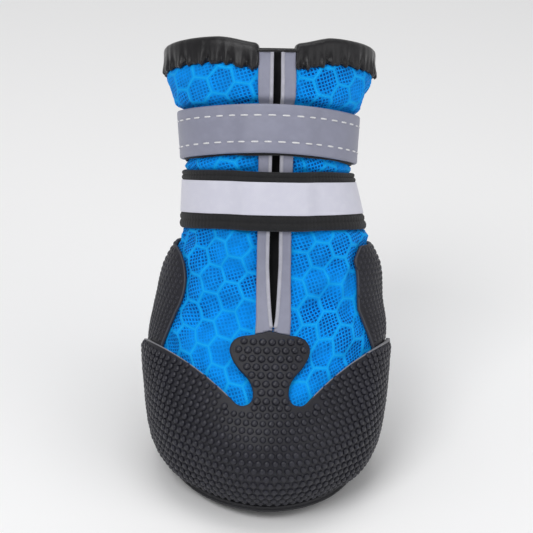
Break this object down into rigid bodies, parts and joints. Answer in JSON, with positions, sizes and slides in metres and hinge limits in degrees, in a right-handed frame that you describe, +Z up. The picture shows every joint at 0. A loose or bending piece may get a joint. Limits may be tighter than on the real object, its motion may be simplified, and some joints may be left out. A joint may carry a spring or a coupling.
{
  "type": "dog boot",
  "caption": "Soft paw boot for a dog with a hollow fabric upper, rubber sole and toe cap, split front, straps round the shaft and a bound collar.",
  "frame": {"origin": "on the floor, under the middle of the boot's overall box", "axes": "+Z up, the toe points to -Y, +X to the viewer's right when looking at the toe; the boot is the same on both sides of the plane X = 0 apart from the straps' ends"},
  "size_m": [0.0682, 0.0976, 0.1125],
  "materials": {
    "rubber": "moulded rubber with rows of small raised dots, satin",
    "lining": "black brushed lining cloth",
    "blue_mesh": "bright blue sandwich mesh with honeycomb cells",
    "black_fabric": "black stretch cloth",
    "grey_tape": "grey reflective tape with a fine weave, satin",
    "binding": "black glossy gathered binding cloth",
    "black_webbing": "black ribbed webbing, matt",
    "silver_tape": "silver reflective tape with a fine weave, satin"
  },
  "bodies": {
    "root": {"outsole": "rubber", "insole": "lining", "upper": "blue_mesh", "toe_cap": "rubber", "heel_counter": "rubber", "gusset": "black_fabric", "strip_left": "grey_tape", "strip_right": "grey_tape", "collar_binding": "binding", "lower_strap": "black_webbing", "lower_strap_tape": "silver_tape", "upper_strap_backing": "black_webbing", "upper_strap": "grey_tape"}
  },
  "joints": []
}
